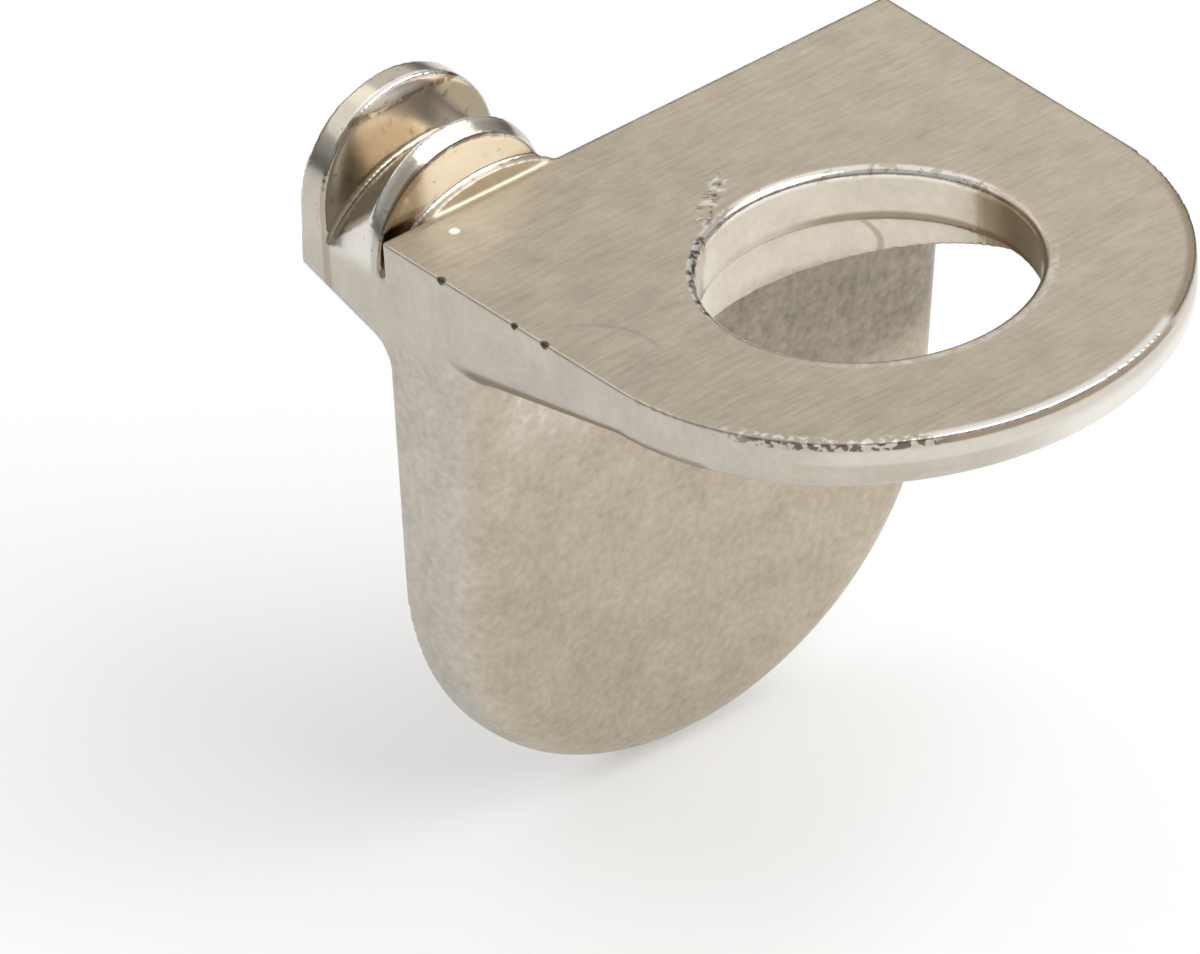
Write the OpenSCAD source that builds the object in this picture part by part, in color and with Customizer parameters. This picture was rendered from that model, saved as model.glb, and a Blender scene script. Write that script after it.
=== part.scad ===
// Shelf support cast in one piece: a round-nosed plate with a large hole carries the shelf,
// a drafted leg bears on the cabinet side, and a barbed claw hooks into the drilled hole.
// Origin: middle of the plate's top edge at the cabinet side. X runs along the cabinet side,
// the plate points to -Y, the claw to +Y, and the shelf rests on the plane Z = 0.

/* [Plate] */
// Width of the plate along the cabinet side
plate_w = 14.7; // [13.5:0.1:18]
// Distance from the cabinet side to the middle of the hole and of the round nose
hole_y = 8.3; // [8:0.1:9.5]
// Thickness of the plate
plate_t = 1.5; // [1.3:0.1:2]
// Radius of the plate's free corner at the cabinet side
corner_r = 0.35; // [0.1:0.05:1]
// Height of the round under the plate's rim
rim_round_h = 0.85; // [0.3:0.05:1.1]
// How far that round draws in along the sides
side_draw_in = 0.35; // [0.1:0.05:0.8]
// How far that round draws in at the nose
nose_draw_in = 1.0; // [0.3:0.05:1.5]

/* [Hole] */
// Diameter of the hole at the top
hole_d = 7.8; // [5:0.1:8.4]
// Radius of the round on the hole's top edge
hole_edge_r = 0.2; // [0.05:0.05:0.4]
// Depth at which the hole steps out to its lower diameter
step_z = 1.35; // [0.8:0.05:1.6]
// How much wider the hole is below the step, on the diameter
step_wider = 0.3; // [0.1:0.1:0.6]

/* [Leg] */
// Height of the leg below the shelf plane
leg_h = 16.2; // [13:0.1:20]
// Thickness of the leg at the shelf plane
leg_t_top = 3.05; // [2.6:0.05:3.6]
// Thickness of the leg at its foot
leg_t_foot = 1.3; // [1.2:0.05:2.4]
// Radius of the round foot
foot_r = 7.1; // [6.3:0.1:7.3]
// Radius of the leg's front edges
leg_edge_r = 1.15; // [0.4:0.05:1.15]

/* [Gusset] */
// Depth of the gusset below the shelf plane at the leg
gusset_h = 2.9; // [2.4:0.1:3.6]
// Distance from the cabinet side to the gusset's front end
gusset_y = 8.4; // [7:0.1:9]
// Radius of the gusset's long lower edges at the leg
gusset_edge_r = 1.5; // [0.8:0.1:2]
// Radius of the same edges at the front end
gusset_end_r = 0.6; // [0.5:0.05:0.8]
// Radius of the fillet between the leg and the gusset
root_fillet_r = 1.2; // [0.5:0.1:1.8]

/* [Claw] */
// Width of the claw, whose left flank is flush with the plate and the leg
claw_w = 5; // [4:0.1:6]
// Length of the claw behind the cabinet side
claw_l = 3.05; // [2.6:0.05:4]
// Height of the end barb's crest above the shelf plane
end_barb_top = 2.25; // [1.6:0.05:2.6]
// Height of the inner barb's crest above the shelf plane
inner_barb_top = 1.82; // [1.2:0.05:2.2]
// Length of the end barb along the claw
end_barb_l = 0.85; // [0.6:0.05:1.2]
// Distance from the cabinet side to the inner barb's shoulder
inner_shoulder_y = 0.18; // [0.05:0.01:0.3]
// Distance from the cabinet side to the inner barb's crest
inner_crest_y = 0.56; // [0.4:0.02:0.8]
// Height of the claw's core above the shelf plane
core_top = 0.44; // [0.2:0.02:0.8]
// Radius of the core's rounded back
core_r = 4.15; // [3.5:0.05:6]
// Distance of the core's highest line from the middle of the claw, away from its flush flank
core_shift = 0.67; // [0:0.01:1]
// Depth of the claw's underside at its tip
tip_bottom = 1.92; // [1.5:0.02:2.4]
// Depth of the claw's underside where it meets the leg
root_bottom = 2.85; // [2.4:0.05:3.4]
// Radius of the fillet between claw and leg
claw_fillet_r = 0.8; // [0.3:0.05:1.2]

/* [Hidden] */
$fn = 96;
nickel = "#c3b9a5";
// thickness of the leaves that the hulls span
leaf = 0.02;
// overlap of joined forms inside the casting
sunk = 1;
// how far the ramp's low end reaches into the end barb
shoulder_sunk = 0.1;
round_steps = 6;
half_w = plate_w / 2;
hole_r = hole_d / 2;
claw_x = -half_w + claw_w / 2;
claw_r = claw_w / 2;
tip_lean = 0.25;
foot_x = foot_r - half_w;
foot_z = leg_h - foot_r;
// the leg starts this far below the shelf plane, inside the plate
leg_top_z = 0.3;
leg_draft = atan((leg_t_top - leg_t_foot) / leg_h);
gusset_slope = (gusset_h - plate_t) / (gusset_y - leg_t_top);
// the gusset's front end stays this far inside the plate's sides
gusset_tuck = 0.05;
// the fillet's ends stay this far inside the casting's width
fillet_inset = 1.1;
// the fillet's hollow cuts this far into both faces that it joins
fillet_bite = 0.02;

// D outline of the plate, drawn in at the sides and at the nose
module plate_outline(side = 0, nose = 0) {
    nose_r = half_w - side;
    nose_y = hole_y - nose + side;
    translate([0, -nose_y]) circle(nose_r);
    translate([nose_r - corner_r, -corner_r]) circle(corner_r, $fn = 32);
    translate([-nose_r, -corner_r]) square(corner_r);
}

// U outline of the leg in the plane of the cabinet side, drawn in all round
module leg_outline(inset = 0) {
    translate([foot_x, -foot_z]) circle(foot_r - inset);
    translate([-half_w + inset, -leg_top_z - leaf]) square([plate_w - 2 * inset, leaf]);
}

// Stands a drawing made in X and Z upright, at a distance in front of the cabinet side
module upright(y, thickness) {
    translate([0, y, 0]) rotate([90, 0, 0]) linear_extrude(thickness) children();
}

// Round-nosed plate with a soft lower rim
module plate() {
    land = plate_t - rim_round_h;
    hull() {
        translate([0, 0, -leaf]) linear_extrude(leaf) plate_outline();
        for (i = [0 : round_steps]) {
            a = 90 * i / round_steps;
            k = 1 - cos(a);
            translate([0, 0, -land - rim_round_h * sin(a)])
                linear_extrude(leaf) plate_outline(side_draw_in * k, nose_draw_in * k);
        }
    }
}

// Leg that thins towards its round foot, with large rounds on its front edges
module leg() {
    hull() {
        upright(0, leaf) leg_outline();
        for (i = [0 : round_steps]) {
            a = 90 * i / round_steps;
            y = leg_t_top - leg_edge_r + leg_edge_r * sin(a);
            translate([0, -y, 0]) rotate([leg_draft, 0, 0])
                upright(leaf, leaf) leg_outline(leg_edge_r * (1 - cos(a)));
        }
    }
}

// Cross-section of the gusset, with its two lower corners rounded
module gusset_section(width, depth, r) {
    flat = width - 2 * r;
    translate([-width / 2, -plate_t / 2]) square([width, leaf]);
    intersection() {
        translate([-half_w, -leg_h]) square([plate_w, leg_h - plate_t / 2]);
        for (x = [-1, 1])
            translate([x * flat / 2, r - depth]) circle(r, $fn = 48);
    }
}

// Wedge under the plate that stiffens it at the leg, flush with the plate's sides
module gusset() {
    hull() {
        upright(-sunk, leaf)
            gusset_section(plate_w, gusset_h + (leg_t_top - sunk) * gusset_slope, gusset_edge_r);
        upright(-gusset_y, leaf) gusset_section(plate_w - 2 * gusset_tuck, plate_t, gusset_end_r);
    }
}

// Profile of the fillet that touches the leg's drafted front and the gusset's sloping underside
module root_fillet_profile() {
    tilt = atan(gusset_slope);
    r = root_fillet_r;
    away = r - fillet_bite;
    spread = cos(leg_draft + tilt);
    run = away * (sin(leg_draft) - cos(tilt)) + gusset_h * sin(leg_draft) * cos(tilt);
    drop = away * (sin(tilt) - cos(leg_draft)) - gusset_h * cos(leg_draft) * cos(tilt);
    middle = [run / spread - leg_t_top, drop / spread];
    on_leg = middle + (r + leaf) * [cos(leg_draft), sin(leg_draft)];
    on_gusset = middle + (r + leaf) * [sin(tilt), cos(tilt)];
    difference() {
        polygon([on_leg, on_gusset, [on_gusset[0], -plate_t], [-sunk, -plate_t], [-sunk, on_leg[1]]]);
        translate(middle) circle(r);
    }
}

// The fillet, with its two ends drawn round the leg's rounded edges
module root_fillet() {
    turn_r = leg_edge_r + root_fillet_r;
    front = leg_t_top + root_fillet_r;
    width = plate_w - 2 * fillet_inset;
    intersection() {
        translate([-half_w, 0, 0]) rotate([90, 0, 90]) linear_extrude(plate_w) root_fillet_profile();
        translate([0, 0, -leg_h / 2]) linear_extrude(leg_h / 2) {
            for (x = [-1, 1])
                translate([x * (width / 2 - turn_r), turn_r - front]) circle(turn_r);
            translate([turn_r - width / 2, -front]) square([width - 2 * turn_r, front]);
            translate([-width / 2, turn_r - front]) square([width, front - turn_r]);
        }
    }
}

// Cutter of the hole: bore, rounded top edge and wider lower part
module hole_cutter() {
    depth = leg_h;
    translate([0, -hole_y, -depth]) cylinder(r = hole_r, h = depth + sunk);
    translate([0, -hole_y, -depth]) cylinder(r = hole_r + step_wider / 2, h = depth - step_z);
    translate([0, -hole_y, 0]) rotate_extrude()
        translate([hole_r, 0]) difference() {
            translate([-sunk, -hole_edge_r]) square([hole_edge_r + sunk, hole_edge_r + leaf]);
            translate([hole_edge_r, -hole_edge_r]) circle(hole_edge_r);
        }
}

// Section of a barb: round crest on upright flanks
module barb_section(top) {
    translate([claw_x, top - claw_r]) circle(claw_r);
    translate([-half_w, -leg_h / 3]) square([claw_w, leg_h / 3 + top - claw_r]);
}

// Section of the core that the barbs stand on
module core_section() {
    intersection() {
        translate([claw_x + core_shift, core_top - core_r]) circle(core_r);
        translate([-half_w, -leg_h]) square([claw_w, 2 * leg_h]);
    }
    translate([-half_w, -leg_h / 3]) square([claw_w, leg_h / 3 + core_top - core_r]);
}

// Side view of the claw: leaning tip, sloping underside and the fillet into the leg
module claw_side_view() {
    slope = (root_bottom - tip_bottom) / claw_l;
    fillet_z = -root_bottom + claw_fillet_r * (slope - sqrt(1 + slope * slope));
    fillet_end = claw_fillet_r * (1 - sin(atan(slope)));
    polygon([[claw_l, -tip_bottom], [claw_l - tip_lean, end_barb_top + sunk], [0, end_barb_top + sunk],
             [0, 0], [-sunk, -plate_t / 2], [-sunk, -root_bottom - slope * sunk]]);
    difference() {
        polygon([[-sunk, fillet_z], [fillet_end, fillet_z],
                 [fillet_end, -root_bottom + slope * fillet_end],
                 [-sunk, -root_bottom - slope * sunk]]);
        translate([claw_fillet_r, fillet_z]) circle(claw_fillet_r);
    }
}

// Claw with two barbs, whose steep shoulders face the plate and whose ramps face the tip
module claw() {
    end_shoulder_y = claw_l - end_barb_l - 0.1;
    intersection() {
        union() {
            upright(claw_l, claw_l + sunk) core_section();
            upright(claw_l, claw_l - end_shoulder_y) barb_section(end_barb_top);
            hull() {
                upright(inner_crest_y, leaf) barb_section(inner_barb_top);
                upright(inner_shoulder_y + leaf, leaf) barb_section(inner_barb_top - 0.35);
                upright(end_shoulder_y + shoulder_sunk, leaf) core_section();
            }
        }
        translate([-half_w, 0, 0]) rotate([90, 0, 90])
            linear_extrude(claw_w) claw_side_view();
    }
}

module shelf_support() {
    color(nickel) difference() {
        union() {
            plate();
            leg();
            gusset();
            root_fillet();
            claw();
        }
        hole_cutter();
    }
}

shelf_support();
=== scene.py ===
# %% [markdown]
# # A cast shelf support
#
# The object is one small zinc casting with a satin nickel plate: a round-nosed plate carries the
# shelf, a leg bears on the cabinet side, and a barbed claw hooks into a drilled hole. The lesson
# models it by hand, part by part, and melts the parts into one casting at the end. First the fixed
# frame is loaded. Its box gives the sizes that everything else is worked out from.

# %% Load the fixed frame
import math

import bmesh
import bpy
from mathutils import Matrix, Vector


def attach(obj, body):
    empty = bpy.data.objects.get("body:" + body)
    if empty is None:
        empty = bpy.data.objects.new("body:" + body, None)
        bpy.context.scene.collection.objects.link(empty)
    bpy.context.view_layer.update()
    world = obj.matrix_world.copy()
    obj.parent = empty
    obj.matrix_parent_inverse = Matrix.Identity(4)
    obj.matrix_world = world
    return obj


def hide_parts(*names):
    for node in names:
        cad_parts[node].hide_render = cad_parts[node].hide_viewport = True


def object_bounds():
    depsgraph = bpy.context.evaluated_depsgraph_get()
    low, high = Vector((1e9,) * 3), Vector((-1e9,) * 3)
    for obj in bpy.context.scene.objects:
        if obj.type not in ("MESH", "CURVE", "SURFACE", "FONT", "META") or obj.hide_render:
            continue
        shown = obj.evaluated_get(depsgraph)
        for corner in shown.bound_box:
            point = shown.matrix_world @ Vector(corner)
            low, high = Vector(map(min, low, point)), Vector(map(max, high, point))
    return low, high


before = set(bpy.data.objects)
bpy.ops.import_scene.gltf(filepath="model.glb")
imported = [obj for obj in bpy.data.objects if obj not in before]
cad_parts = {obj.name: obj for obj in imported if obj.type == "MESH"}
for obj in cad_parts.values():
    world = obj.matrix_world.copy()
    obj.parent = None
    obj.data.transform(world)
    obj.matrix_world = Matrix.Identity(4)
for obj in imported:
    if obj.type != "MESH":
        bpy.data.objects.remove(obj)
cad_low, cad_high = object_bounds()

print("frame holds", sorted(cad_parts), "from", tuple(cad_low), "to", tuple(cad_high))

# %% [markdown]
# ## Working scale
#
# Blender's modelling tools have small built-in distances below which two points count as one. On a
# casting of 15 mm those distances are large. So the parts are modelled with one Blender unit for
# each millimetre, and the finished mesh is scaled down to metres once. All sizes below are in
# millimetres.

# %% Driving sizes
MM = 0.001
PLATE_W = (cad_high.x - cad_low.x) / MM
HALF_W = PLATE_W / 2
NOSE_Y = -cad_low.y / MM
LEG_H = -cad_low.z / MM
CLAW_L = cad_high.y / MM
BARB_TOP = cad_high.z / MM
HOLE_Y = NOSE_Y - HALF_W
PLATE_T = 1.5
HOLE_R = 3.9
print(f"plate {PLATE_W:.2f} wide, {NOSE_Y:.2f} deep; leg {LEG_H:.2f} high; claw {CLAW_L:.2f} long")

# %% [markdown]
# ## Small helpers
#
# Every operator acts on what is selected, so each step starts by clearing the selection. In edit
# mode, faces, edges and points are picked by a test of their place, which is what a modeller does
# by eye. TINY is the distance below which two places count as one. SLIVER is a small gap or first
# step, for where a tool needs one that isn't zero.


# %% Selection helpers
TINY = 0.001
SLIVER = 0.01


def only(obj):
    """Makes obj the one selected and active object."""
    bpy.ops.object.select_all(action="DESELECT")
    obj.select_set(True)
    bpy.context.view_layer.objects.active = obj


def edit(obj):
    only(obj)
    bpy.ops.object.mode_set(mode="EDIT")


def leave():
    bpy.ops.object.mode_set(mode="OBJECT")


def pick(kind, test):
    """In edit mode, selects the points, edges or faces that pass the test of their middle."""
    bpy.ops.mesh.select_mode(type=kind)
    bpy.ops.mesh.select_all(action="DESELECT")
    mesh = bmesh.from_edit_mesh(bpy.context.object.data)
    items = {"VERT": mesh.verts, "EDGE": mesh.edges, "FACE": mesh.faces}[kind]
    chosen = [item for item in items if test(middle(item))]
    for item in chosen:
        item.select_set(True)
    mesh.select_flush_mode()
    bmesh.update_edit_mesh(bpy.context.object.data)
    return len(chosen)


def middle(item):
    """Middle of a point, an edge or a face."""
    if isinstance(item, bmesh.types.BMVert):
        return item.co
    if isinstance(item, bmesh.types.BMEdge):
        return (item.verts[0].co + item.verts[1].co) / 2
    return item.calc_center_median()


def place(obj):
    """Writes an object's place and turn into its mesh."""
    only(obj)
    bpy.ops.object.transform_apply(location=True, rotation=True, scale=True)


def tidy_normals():
    bpy.ops.mesh.select_all(action="SELECT")
    bpy.ops.mesh.normals_make_consistent(inside=False)


def slide(offset):
    bpy.ops.transform.translate(value=offset)


def extrude(offset):
    bpy.ops.mesh.extrude_region_move(TRANSFORM_OT_translate={"value": offset})


print("selection helpers ready")

# %% [markdown]
# ## The plate
#
# The plate is a tongue with a half-round nose. Its top edge is fairly sharp, because the brushing
# flattened it, and its lower rim is a soft draft round that grows towards the nose. A ring is cut
# in half, its ends are drawn back to the cabinet side, and the face is extruded down. For the
# lower rim it goes down in short steps, and each step draws it in a little more, as a quarter
# wave.

# %% Model the plate
RIM_H = 0.85
RIM_SIDE = 0.35
RIM_NOSE = 1.0
RIM_STEPS = 8
CORNER_R = 0.35
CORNER_STEPS = 6
OUTLINE_STEPS = 160


def make_plate():
    bpy.ops.object.select_all(action="DESELECT")
    bpy.ops.mesh.primitive_circle_add(
        vertices=OUTLINE_STEPS, radius=HALF_W, fill_type="NOTHING", location=(0, -HOLE_Y, 0)
    )
    plate = bpy.context.object
    plate.name = "plate"
    place(plate)
    edit(plate)
    pick("VERT", lambda p: p.y > -HOLE_Y + TINY)
    bpy.ops.mesh.delete(type="VERT")
    pick("VERT", lambda p: abs(p.x) > HALF_W - TINY)
    extrude((0, HOLE_Y, 0))
    pick("VERT", lambda p: p.x > 0 and p.y > -TINY)
    bpy.ops.mesh.bevel(offset=CORNER_R, segments=CORNER_STEPS, affect="VERTICES")
    bpy.ops.mesh.select_all(action="SELECT")
    bpy.ops.mesh.edge_face_add()
    extrude((0, 0, RIM_H - PLATE_T))
    width, nose = HALF_W, 0
    for step in range(1, RIM_STEPS + 1):
        angle = math.radians(90 * step / RIM_STEPS)
        last = math.radians(90 * (step - 1) / RIM_STEPS)
        extrude((0, 0, RIM_H * (math.sin(last) - math.sin(angle))))
        drawn = 1 - math.cos(angle)
        new_width = HALF_W - RIM_SIDE * drawn
        new_nose = (RIM_NOSE - RIM_SIDE) * drawn
        low = min(v.co.z for v in bmesh.from_edit_mesh(plate.data).verts)
        factor = new_width / width
        pick("VERT", lambda p: p.z < low + TINY)
        bpy.ops.transform.resize(value=(factor, 1, 1), center_override=(0, -HOLE_Y, low))
        pick("VERT", lambda p: p.z < low + TINY and p.y < -HOLE_Y + nose + TINY)
        bpy.ops.transform.resize(value=(1, factor, 1), center_override=(0, nose - HOLE_Y, low))
        slide((0, new_nose - nose, 0))
        pick("FACE", lambda p: p.z < low + TINY)
        width, nose = new_width, new_nose
    tidy_normals()
    leave()
    return plate


plate = make_plate()
print("plate has", len(plate.data.polygons), "faces")

# %% [markdown]
# ## The leg
#
# The leg is a U-shaped tongue. The mould needs draft, so the leg is thick at the plate and thin at
# the foot, and its front edges have large rounds. The outline is drawn first, extruded forwards,
# and then the front face is turned a few degrees about its top edge. A bevel rounds the front
# edges, except the top one, which the plate hides.

# %% Model the leg
LEG_TOP_T = 3.05
LEG_FOOT_T = 1.3
LEG_EDGE_R = 1.15
LEG_EDGE_STEPS = 10
LEG_EDGE_START = 0.5
FOOT_R = 7.1
FOOT_X = FOOT_R - HALF_W
FOOT_Z = LEG_H - FOOT_R
LEG_TOP_Z = 0.3
DRAFT = math.atan((LEG_TOP_T - LEG_FOOT_T) / LEG_H)


def front_y(z):
    """Where the leg's drafted front face lies at height z."""
    return -LEG_TOP_T - z * math.tan(DRAFT)


def make_leg():
    bpy.ops.object.select_all(action="DESELECT")
    bpy.ops.mesh.primitive_circle_add(
        vertices=OUTLINE_STEPS,
        radius=FOOT_R,
        fill_type="NOTHING",
        location=(FOOT_X, 0, -FOOT_Z),
        rotation=(math.radians(90), 0, 0),
    )
    leg = bpy.context.object
    leg.name = "leg"
    place(leg)
    edit(leg)
    pick("VERT", lambda p: p.z > -FOOT_Z + TINY)
    bpy.ops.mesh.delete(type="VERT")
    pick("VERT", lambda p: p.z > -FOOT_Z - TINY)
    extrude((0, 0, FOOT_Z - LEG_TOP_Z))
    pick("VERT", lambda p: p.x > 0 and p.z > -LEG_TOP_Z - TINY)
    slide((HALF_W - (FOOT_X + FOOT_R), 0, 0))
    bpy.ops.mesh.select_all(action="SELECT")
    bpy.ops.mesh.edge_face_add()
    extrude((0, -LEG_TOP_T, 0))
    pick("VERT", lambda p: p.y < -TINY)
    bpy.ops.transform.rotate(value=-DRAFT, orient_axis="X", center_override=(0, -LEG_TOP_T, 0))
    start = -LEG_TOP_Z - LEG_EDGE_START
    on_front = pick("EDGE", lambda p: abs(p.y - front_y(p.z)) < SLIVER and p.z < start)
    print("edges round the front", on_front)
    bpy.ops.mesh.bevel(
        offset=LEG_EDGE_R, segments=LEG_EDGE_STEPS, affect="EDGES", clamp_overlap=True
    )
    tidy_normals()
    leave()
    return leg


leg = make_leg()
print("leg has", len(leg.data.polygons), "faces")

# %% [markdown]
# ## Blocks, rods and cuts
#
# Some parts start as a block between two corners, or as a round rod between two points. One part
# is cut out of another with a Boolean modifier. It is applied at once, so that each part stays one
# plain mesh.


# %% Block, rod and cut helpers
ROD_STEPS = 128


def make_block(name, low, high):
    """Adds a block between two corners."""
    bpy.ops.object.select_all(action="DESELECT")
    middle_point = (Vector(low) + Vector(high)) / 2
    bpy.ops.mesh.primitive_cube_add(size=1, location=middle_point)
    block = bpy.context.object
    block.name = name
    block.scale = Vector(high) - Vector(low)
    place(block)
    return block


def make_rod(name, radius, low, high):
    """Adds a cylinder between two points."""
    bpy.ops.object.select_all(action="DESELECT")
    axis = Vector(high) - Vector(low)
    middle_point = (Vector(low) + Vector(high)) / 2
    bpy.ops.mesh.primitive_cylinder_add(
        vertices=ROD_STEPS, radius=radius, depth=axis.length, location=middle_point
    )
    rod = bpy.context.object
    rod.name = name
    rod.rotation_euler = axis.to_track_quat("Z", "Y").to_euler()
    place(rod)
    return rod


def cut(target, tool):
    """Cuts the tool's room out of the target and removes the tool."""
    only(target)
    change = target.modifiers.new("cut", "BOOLEAN")
    change.operation = "DIFFERENCE"
    change.object = tool
    change.solver = "EXACT"
    bpy.ops.object.modifier_apply(modifier=change.name)
    only(tool)
    bpy.ops.object.delete()


print("block, rod and cut helpers ready")

# %% [markdown]
# ## The wedge under the plate
#
# A wedge as wide as the casting stiffens the corner of leg and plate. Its underside slopes up
# towards the nose, and its two long lower edges have rounds that are large at the leg and small at
# the front. It is a block that grows downwards in short steps. Each step draws the sides in a
# little, more at the leg than at the front, so that the sides stay flush with the plate and the
# rounds melt into the plate's rim. SUNK is how far a part reaches into its neighbour, so that the
# two overlap.

# %% Model the wedge
WEDGE_H = 2.9
WEDGE_Y = 8.4
WEDGE_EDGE_R = 1.5
WEDGE_END_R = 0.6
WEDGE_STEPS = 10
WEDGE_TOP = -0.1
WEDGE_SLOPE = (WEDGE_H - PLATE_T) / (WEDGE_Y - LEG_TOP_T)
SUNK = 1.0


def wedge_z(y):
    """Height of the wedge's sloping underside at y."""
    return -WEDGE_H - (y + LEG_TOP_T) * WEDGE_SLOPE


def make_wedge():
    half = HALF_W - SLIVER
    ends = ((-SUNK, WEDGE_EDGE_R), (-WEDGE_Y, WEDGE_END_R))
    face_middle = Vector((0, -(SUNK + WEDGE_Y) / 2))
    wedge = make_block("wedge", (-half, -WEDGE_Y, WEDGE_TOP - SUNK), (half, -SUNK, WEDGE_TOP))
    edit(wedge)
    for y, radius in ends:
        pick("VERT", lambda p: p.z < WEDGE_TOP - TINY and abs(p.y - y) < TINY)
        slide((0, 0, wedge_z(y) + radius - (WEDGE_TOP - SUNK)))
    for step in range(1, WEDGE_STEPS + 1):
        angle = math.radians(90 * step / WEDGE_STEPS)
        last = math.radians(90 * (step - 1) / WEDGE_STEPS)
        pick("FACE", lambda p: (p.xy - face_middle).length < TINY and p.z < WEDGE_TOP - TINY)
        extrude((0, 0, -SLIVER))
        for y, radius in ends:
            old = wedge_z(y) + radius * (1 - math.sin(last))
            new = wedge_z(y) + radius * (1 - math.sin(angle))
            old_half = half - radius * (1 - math.cos(last))
            new_half = half - radius * (1 - math.cos(angle))
            pick("VERT", lambda p: p.z < old - SLIVER / 2 and abs(p.y - y) < TINY)
            slide((0, 0, new - old + SLIVER))
            bpy.ops.transform.resize(value=(new_half / old_half, 1, 1), center_override=(0, 0, 0))
    tidy_normals()
    leave()
    return wedge


wedge = make_wedge()
print("wedge has", len(wedge.data.polygons), "faces")

# %% [markdown]
# ## The fillet in the corner
#
# In the corner of leg and wedge lies a hollow fillet. A fillet is the room between two faces and a
# round stick, so it is made as a block with a cylinder cut out of it. The block's own ends are
# rounded, so that the fillet dies away before the leg's rounded edges.

# %% Model the corner fillet
FILLET_R = 1.2
FILLET_INSET = 1.1
FILLET_END_R = 0.9
FILLET_END_STEPS = 8


def make_corner_fillet():
    half = HALF_W - FILLET_INSET
    tilt = math.atan(WEDGE_SLOPE)
    spread = math.cos(DRAFT + tilt)
    run = FILLET_R * (math.sin(DRAFT) - math.cos(tilt))
    run += WEDGE_H * math.sin(DRAFT) * math.cos(tilt)
    drop = FILLET_R * (math.sin(tilt) - math.cos(DRAFT))
    drop -= WEDGE_H * math.cos(DRAFT) * math.cos(tilt)
    stick = Vector((0, run / spread - LEG_TOP_T, drop / spread))
    on_leg = stick + FILLET_R * Vector((0, math.cos(DRAFT), math.sin(DRAFT)))
    on_wedge = stick + FILLET_R * Vector((0, math.sin(tilt), math.cos(tilt)))
    fillet = make_block("corner_fillet", (-half, on_wedge.y, on_leg.z), (half, -SUNK, -PLATE_T))
    edit(fillet)

    def upright_front(p):
        on_end = abs(p.x) > half - TINY and p.y < on_wedge.y + TINY
        return on_end and on_leg.z + TINY < p.z < -PLATE_T - TINY

    pick("EDGE", upright_front)
    bpy.ops.mesh.bevel(offset=FILLET_END_R, segments=FILLET_END_STEPS, affect="EDGES")
    tidy_normals()
    leave()
    across = Vector((HALF_W + SUNK, 0, 0))
    cut(fillet, make_rod("stick", FILLET_R, stick - across, stick + across))
    return fillet


corner_fillet = make_corner_fillet()
print("corner fillet has", len(corner_fillet.data.polygons), "faces")

# %% [markdown]
# ## The claw
#
# The claw has two barbs with round crests. Each has a steep shoulder towards the plate, and the
# inner one runs down a ramp to the foot of the outer one. Both stand on a lower core. All these
# are sections of one kind: an arch with straight sides. So the claw is lofted. One point is spun
# into an arch and its ends are drawn down. That is repeated for each section along the claw, and
# neighbouring sections are bridged.

# %% Draw an arch section
CLAW_W = 5.0
CLAW_X = CLAW_W / 2 - HALF_W
ARCH_STEPS = 64
CLAW_SOLE = -4.6


def add_arch(y, top, radius, shift):
    """In edit mode, draws one closed arch section of the claw at y, clipped to the claw's width."""
    left, right = CLAW_X - CLAW_W / 2, CLAW_X + CLAW_W / 2
    centre = Vector((CLAW_X + shift, y, top - radius))

    def on_arch(x):
        rise = math.sqrt(max(radius**2 - (x - centre.x) ** 2, 0))
        return Vector((x, y, centre.z + rise))

    start, end = on_arch(left), on_arch(right)
    turn = (start - centre).angle(end - centre)
    bpy.ops.mesh.select_all(action="DESELECT")
    mesh = bmesh.from_edit_mesh(bpy.context.object.data)
    mesh.verts.new(start).select_set(True)
    bmesh.update_edit_mesh(bpy.context.object.data)
    bpy.ops.mesh.spin(steps=ARCH_STEPS, angle=-turn, center=centre, axis=(0, 1, 0))
    for corner in (start, end):
        pick("VERT", lambda p: (p - corner).length < TINY)
        extrude((0, 0, CLAW_SOLE - corner.z))
    pick("VERT", lambda p: abs(p.y - y) < TINY / 10 and p.z < CLAW_SOLE + TINY)
    bpy.ops.mesh.edge_face_add()


print(f"arches {CLAW_W:.2f} wide, about x {CLAW_X:.2f}, in {ARCH_STEPS} steps")


# %% [markdown]
# ## Loft and trim the claw
#
# The sections run from inside the plate to past the tip. Each is given by its place, and by its
# top, its radius and how far it is moved sideways. Two sections almost at one place make a steep
# shoulder. After the loft, the tip and the sole are cut with two planes, because the tip leans and
# the sole slopes up towards it.

# %% Loft the claw
CORE = (0.44, 4.15, 0.67)
SUNK_CORE = (-0.3, 4.15, 0.67)
END_BARB = (BARB_TOP, CLAW_W / 2, 0.0)
INNER_TOP = 1.82
INNER_BARB = (INNER_TOP, CLAW_W / 2, 0.0)
LIP_DROP = 0.35
INNER_LIP = (INNER_TOP - LIP_DROP, CLAW_W / 2, 0.0)
INNER_SHOULDER_Y = 0.18
INNER_CREST_Y = 0.56
END_BARB_L = 0.95
END_SHOULDER_Y = CLAW_L - END_BARB_L
STEEP = 0.02
TIP_LEAN = 0.25
TIP_Z = -1.92
ROOT_Z = -2.85
SECTIONS = [
    (-SUNK, SUNK_CORE),
    (-STEEP, SUNK_CORE),
    (0, CORE),
    (INNER_SHOULDER_Y, CORE),
    (INNER_SHOULDER_Y + STEEP, INNER_LIP),
    (INNER_CREST_Y, INNER_BARB),
    (END_SHOULDER_Y, CORE),
    (END_SHOULDER_Y + STEEP, END_BARB),
    (CLAW_L + SUNK, END_BARB),
]


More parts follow.
